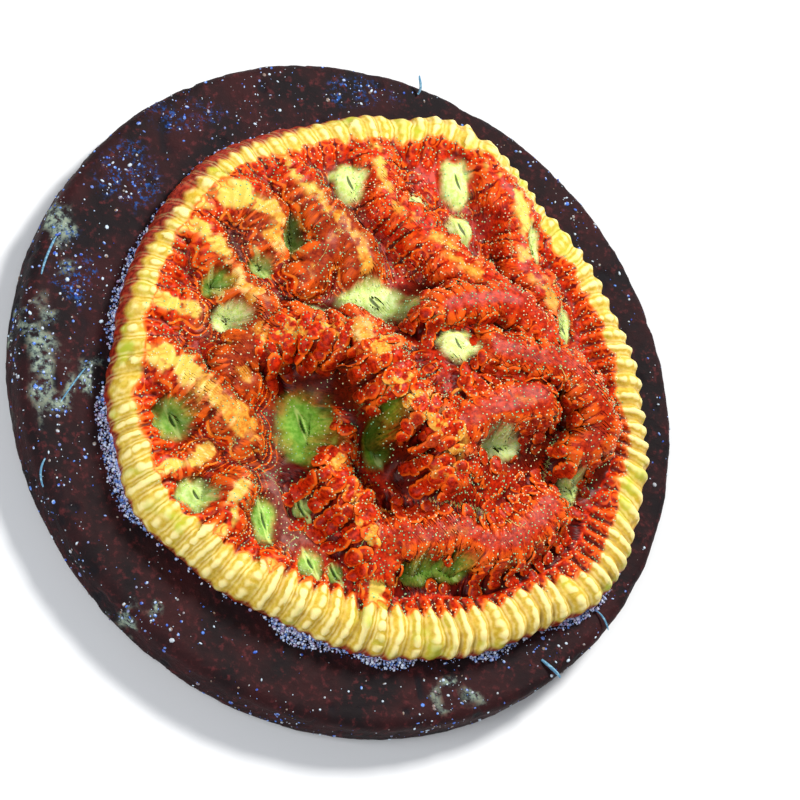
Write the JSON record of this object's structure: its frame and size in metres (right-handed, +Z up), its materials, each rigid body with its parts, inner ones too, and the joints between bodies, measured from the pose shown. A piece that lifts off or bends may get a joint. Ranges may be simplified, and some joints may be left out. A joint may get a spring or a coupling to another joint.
{
  "type": "brain coral on a frag disc",
  "caption": "Small meaty brain coral colony with folded walls and a thick ribbed rim, grown on a round flat frag disc.",
  "frame": {"origin": "centre of the frag disc's flat underside", "axes": "+Z up out of the disc through the colony, +X across the colony, +Y away from its low front side"},
  "size_m": [0.049, 0.049, 0.0137],
  "materials": {
    "coral_flesh": "soft wet flesh, red with yellow crests",
    "crusted_ceramic": "dull, overgrown with maroon crust algae"
  },
  "bodies": {
    "root": {"coral_colony": "coral_flesh", "frag_disc": "crusted_ceramic"}
  },
  "joints": []
}
